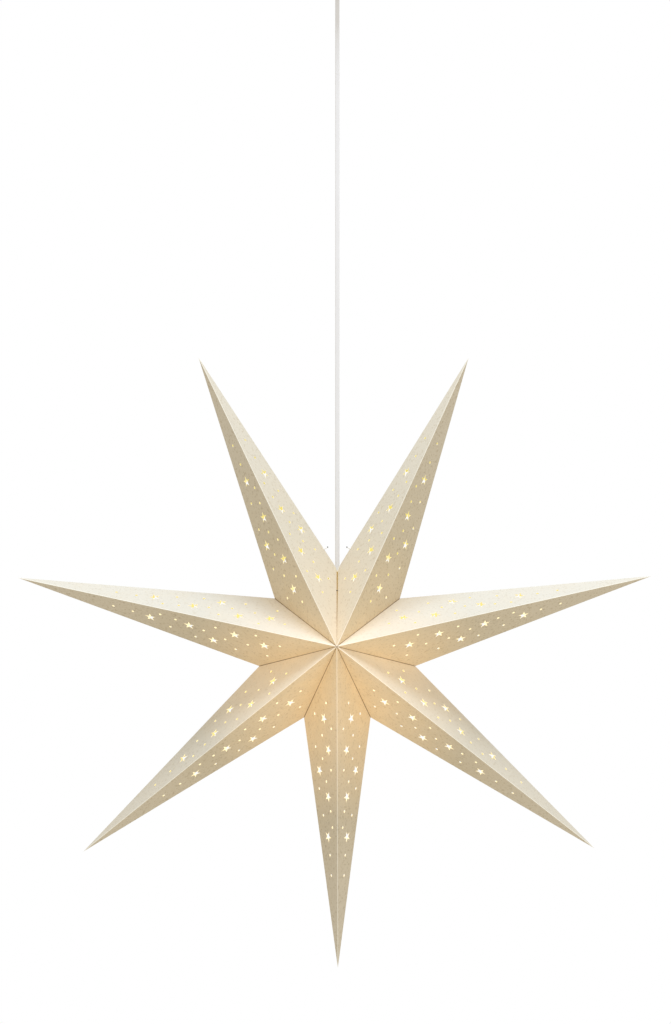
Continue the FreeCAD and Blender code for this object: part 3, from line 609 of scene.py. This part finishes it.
class Facet:
    """One flat face of a ray, in its own flat coordinates: x along the ridge, y away from it."""

    def __init__(self, centre, tip, notch, seam):
        self.centre, self.seam = centre, seam
        self.along = (tip - centre).normalized()
        self.length = (tip - centre).length
        to_notch = notch - centre
        self.notch_x = to_notch.dot(self.along)
        across = to_notch - self.along * self.notch_x
        self.notch_y = across.length
        self.across = across.normalized()
        self.outward = self.along.cross(self.across)
        if self.outward.y * centre.y < 0:
            self.outward = -self.outward
        axis = centre.normalized()
        self.ridge_out = (axis - self.along * axis.dot(self.along)).normalized()
        self.flex_side = math.copysign(1, notch.z)

    def width(self, x):
        return self.notch_y * min(x / self.notch_x, (self.length - x) / (self.length - self.notch_x))

    def spot(self, share_x, share_y):
        x = share_x * PATTERN_LENGTH
        return x, share_y * self.width(x)

    def holes(self):
        return ([star_outline(*self.spot(*shares)) for shares in STAR_HOLES]
                + [dot_outline(*self.spot(*shares)) for shares in DOT_HOLES])

    def cord_arc(self):
        """Flat points where the opening about the flex cuts this facet, from its outer edge to the seam."""
        flex = polar(self.flex_side * NOTCH_ANGLE, 1)
        sideways = polar(self.flex_side * (NOTCH_ANGLE - 90), 1)
        forwards = Vector((0, math.copysign(1, self.centre.y), 0))
        points = []
        last = math.acos(SEAM_GAP / 2 / CORD_HOLE)
        for step in range(CORD_ARC_STEPS + 1):
            turn = last * step / CORD_ARC_STEPS
            start = (sideways * math.cos(turn) + forwards * math.sin(turn)) * CORD_HOLE - self.centre
            spot = start - flex * start.dot(self.outward) / flex.dot(self.outward)
            points.append(Vector((spot.dot(self.along), spot.dot(self.across))))
        return points

    def outline(self):
        corners = [Vector((0, 0)), Vector((self.length, 0))]
        corners += self.cord_arc() if self.seam else [Vector((self.notch_x, self.notch_y))]
        points = []
        for a, b in zip(corners, corners[1:] + corners[:1]):
            points += along_line(a, b, MESH_STEP)
        return points

    def edge_distances(self, flat):
        """How far a flat point is from the valley, or the seam and SEAM_MARK, and from the outer edge."""
        x, y = flat
        valley = (x * self.notch_y - y * self.notch_x) / math.hypot(self.notch_x, self.notch_y)
        rest = self.length - self.notch_x
        outer = ((self.length - x) * self.notch_y - y * rest) / math.hypot(rest, self.notch_y)
        return Vector((valley + (SEAM_MARK if self.seam else 0), outer))

    def inner_points(self, holes):
        """Points inside the facet, closer together beside the ridge, clear of the holes."""
        points = []
        for y in RIDGE_ROWS:
            x = MESH_STEP
            while x < self.length - MESH_STEP:
                if y < self.width(x) * RIDGE_ROW_WIDTH:
                    points.append(Vector((x, y)))
                x += MESH_STEP * RIDGE_SPACING
        y = MESH_STEP
        while y < self.notch_y:
            x = MESH_STEP / 2
            while x < self.length:
                if y < self.width(x) - EDGE_CLEARANCE:
                    points.append(Vector((x, y)))
                x += MESH_STEP
            y += MESH_STEP * ROW_SPACING
        middles = [sum(hole, Vector((0, 0))) / len(hole) for hole in holes]
        reach = STAR_HOLE + HOLE_CLEARANCE
        if self.seam:
            middles.append(Vector((self.notch_x, self.notch_y)))
        return [point for point in points if all((point - middle).length > reach for middle in middles)]

    def point(self, flat, bow):
        """The place of a flat point, with the rounded ridge and the facet's slight bow."""
        x, y = flat
        width = max(self.width(x), NO_WIDTH)
        share = min(max(y / width, 0), 1)
        crown = 4 * share * (1 - share) * min(width / self.notch_y, 1)
        wave_x, wave_y = WAVES_PER_METRE
        wave = noise.noise(self.centre * WAVE_PLACES + self.along * x * wave_x + self.across * y * wave_y)
        lift = crown * (bow + WAVE * wave)
        sink = 0 if share > OUTER_EDGE else CREASE_SINK * math.exp(-(y / CREASE_REACH) ** 2)
        sink *= min(1, x / CENTRE_REACH, (self.length - x) / TIP_REACH)
        return self.centre + self.along * x + self.across * y + self.outward * lift - self.ridge_out * sink


class Sheet:
    """Collects faces of thin card, and joins them where their points meet."""

    def __init__(self):
        self.points, self.found, self.faces, self.flats, self.looks = [], {}, [], [], []

    def index(self, point):
        key = tuple(round(c / WELD) for c in point)
        if key not in self.found:
            self.found[key] = len(self.points)
            self.points.append(point)
        return self.found[key]

    def add(self, points, flats, outward, look):
        """One face: its corners, each corner's (flat place, distances from the edges), and its material."""
        normal = (points[1] - points[0]).cross(points[2] - points[0])
        if normal.dot(outward) < 0:
            points, flats = points[::-1], flats[::-1]
        corners = [self.index(point) for point in points]
        if len(set(corners)) == len(corners):
            self.faces.append(corners)
            self.flats += flats
            self.looks.append(look)

    def add_facet(self, facet, bow):
        outline = facet.outline()
        holes = facet.holes()
        flats, edges = [], []
        for loop in [outline] + holes:
            first, count = len(flats), len(loop)
            edges += [(first + k, first + (k + 1) % count) for k in range(count)]
            flats += loop
        flats += facet.inner_points(holes)
        found, _, triangles, _, _, _ = delaunay_2d_cdt(flats, edges, [], 0, SAME_SPOT)
        for triangle in triangles:
            corners = [found[k] for k in triangle]
            middle = sum(corners, Vector((0, 0))) / 3
            if abs((corners[1] - corners[0]).cross(corners[2] - corners[0])) < SLIVER:
                continue
            if inside(middle, outline) and not any(inside(middle, hole) for hole in holes):
                self.add([facet.point(flat, bow) for flat in corners],
                         [(flat, facet.edge_distances(flat)) for flat in corners], facet.outward, FACE)

    def add_flap(self, front_y, side, radius, gap, seam):
        """The glue flap along a valley, in two strips from the fold towards the star's middle."""
        edge = math.hypot(radius, HALF_DEPTH)
        lines = []
        for depth, aside in ((0, gap), (FLAP_TURN, 0), (FLAP, 0)):
            reach = radius - depth * edge / HALF_DEPTH
            y = math.copysign(HALF_DEPTH - depth * edge / radius, front_y)
            start, end = Vector((0, y, 0)), polar(side * (NOTCH_ANGLE - math.degrees(aside / reach)), reach)
            lines.append((start, start.lerp(end, 1 - CORD_HALF_CUT / abs(y)) if seam else end))
        outward = polar(side * (NOTCH_ANGLE + 90), 1)
        steps = max(1, round(edge / MESH_STEP))
        nowhere = (Vector((0, 0)), Vector((0, 0)))
        for outer, inner in zip(lines, lines[1:]):
            for k in range(steps):
                a, b = k / steps, (k + 1) / steps
                corners = [outer[0].lerp(outer[1], a), outer[0].lerp(outer[1], b), inner[0].lerp(inner[1], b),
                           inner[0].lerp(inner[1], a)]
                self.add(corners, [nowhere] * 4, outward, OPEN if seam else GLUED)

    def mesh(self, name, matrix):
        mesh = bpy.data.meshes.new(name)
        mesh.from_pydata([matrix @ point for point in self.points], [], self.faces)
        for layer, place in (("flat", 0), ("edges", 1)):
            for loop, spots in zip(mesh.uv_layers.new(name=layer).data, self.flats):
                loop.uv = spots[place]
        return mesh


def thicken(piece, tip_place):
    """Gives the card its thickness, which thins out towards the ray's tip."""
    thinning = piece.vertex_groups.new(name="thickness")
    for vertex in piece.data.vertices:
        share = min(1, TIP_THICKNESS + (vertex.co - tip_place).length / TIP_REACH)
        thinning.add([vertex.index], share, "REPLACE")
    solidify = piece.modifiers.new("card", "SOLIDIFY")
    solidify.thickness = CARD
    solidify.offset = -1
    solidify.vertex_group = "thickness"
    solidify.material_offset = 1
    solidify.material_offset_rim = 2


def ray_piece(name, angle, low_notch, high_notch):
    """One hollow card ray at its angle, counted from +X towards +Z, between two notches."""
    sheet = Sheet()
    lean, extra = TIPS[name]
    tip = polar(lean, TIP_RADIUS + extra)
    for side, radius in ((-1, low_notch), (1, high_notch)):
        seam = side == SEAM_SIDES.get(name)
        gap = SEAM_GAP / 2 if seam else VALLEY_GAP
        notch = polar(side * (NOTCH_ANGLE - math.degrees(gap / radius)), radius)
        for front_y in (-HALF_DEPTH, HALF_DEPTH):
            sheet.add_facet(Facet(Vector((0, front_y, 0)), tip, notch, seam), BOW * BOW_SHARES[side])
            sheet.add_flap(front_y, side, radius, gap, seam)
    place = Matrix.Translation(STAR_CENTRE) @ Matrix.Rotation(math.radians(-angle), 4, "Y")
    piece = new_piece("card_" + name, sheet.mesh("card_" + name, place), RAY_MATERIALS)
    piece.data.polygons.foreach_set("material_index", sheet.looks)
    thicken(piece, place @ tip)
    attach(piece, "lantern")
    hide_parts(name)


def shade():
    notches = [NOTCH_RADIUS - (LOW_NOTCH if name in LOW_NOTCHES else 0) for name in RAY_NAMES]
    for place, name in enumerate(RAY_NAMES):
        ray_piece(name, -90 + place * 2 * NOTCH_ANGLE, notches[place - 1], notches[place])


shade()


# ---------------------------------------------------------------- light, floor and backdrop

def area_light(name, place, aim, size, power, colour):
    data = bpy.data.lights.new(name, "AREA")
    data.shape = "DISK"
    data.size = size
    data.energy = power
    data.color = colour
    light = bpy.data.objects.new(name, data)
    light.location = place
    light.rotation_euler = (Vector(aim) - Vector(place)).to_track_quat("-Z", "Y").to_euler()
    bpy.context.collection.objects.link(light)


def world_light():
    """White behind everything the camera sees, and a plain pale light on the object."""
    world = bpy.data.worlds.new("studio")
    bpy.context.scene.world = world
    world.use_nodes = True
    nodes, links = world.node_tree.nodes, world.node_tree.links
    nodes.clear()
    path = nodes.new("ShaderNodeLightPath")
    seen = nodes.new("ShaderNodeBackground")
    seen.inputs["Color"].default_value = rgb(1, 1, 1)
    seen.inputs["Strength"].default_value = 1.0
    light = nodes.new("ShaderNodeBackground")
    light.inputs["Color"].default_value = rgb(1.0, 0.965, 0.92)
    light.inputs["Strength"].default_value = ROOM_LIGHT
    shows = path.outputs["Is Camera Ray"]
    for kind in ("Is Glossy Ray", "Is Transmission Ray"):
        either = nodes.new("ShaderNodeMath")
        either.operation = "MAXIMUM"
        links.new(shows, either.inputs[0])
        links.new(path.outputs[kind], either.inputs[1])
        shows = either.outputs[0]
    mix = nodes.new("ShaderNodeMixShader")
    out = nodes.new("ShaderNodeOutputWorld")
    links.new(shows, mix.inputs[0])
    links.new(light.outputs[0], mix.inputs[1])
    links.new(seen.outputs[0], mix.inputs[2])
    links.new(mix.outputs[0], out.inputs["Surface"])


def floor():
    bpy.ops.mesh.primitive_circle_add(vertices=FLOOR_SIDES, radius=FLOOR_RADIUS, fill_type="NGON",
                                      location=(0, 0, FLOOR_HEIGHT))
    plane = bpy.context.object
    plane.name = "floor"
    plane.data.materials.append(Nodes("floor").surface(Base_Color=rgb(0.80, 0.76, 0.68), Roughness=0.9))


world_light()
floor()
area_light("top_light", **TOP_LIGHT)
area_light("low_fill", **LOW_FILL)
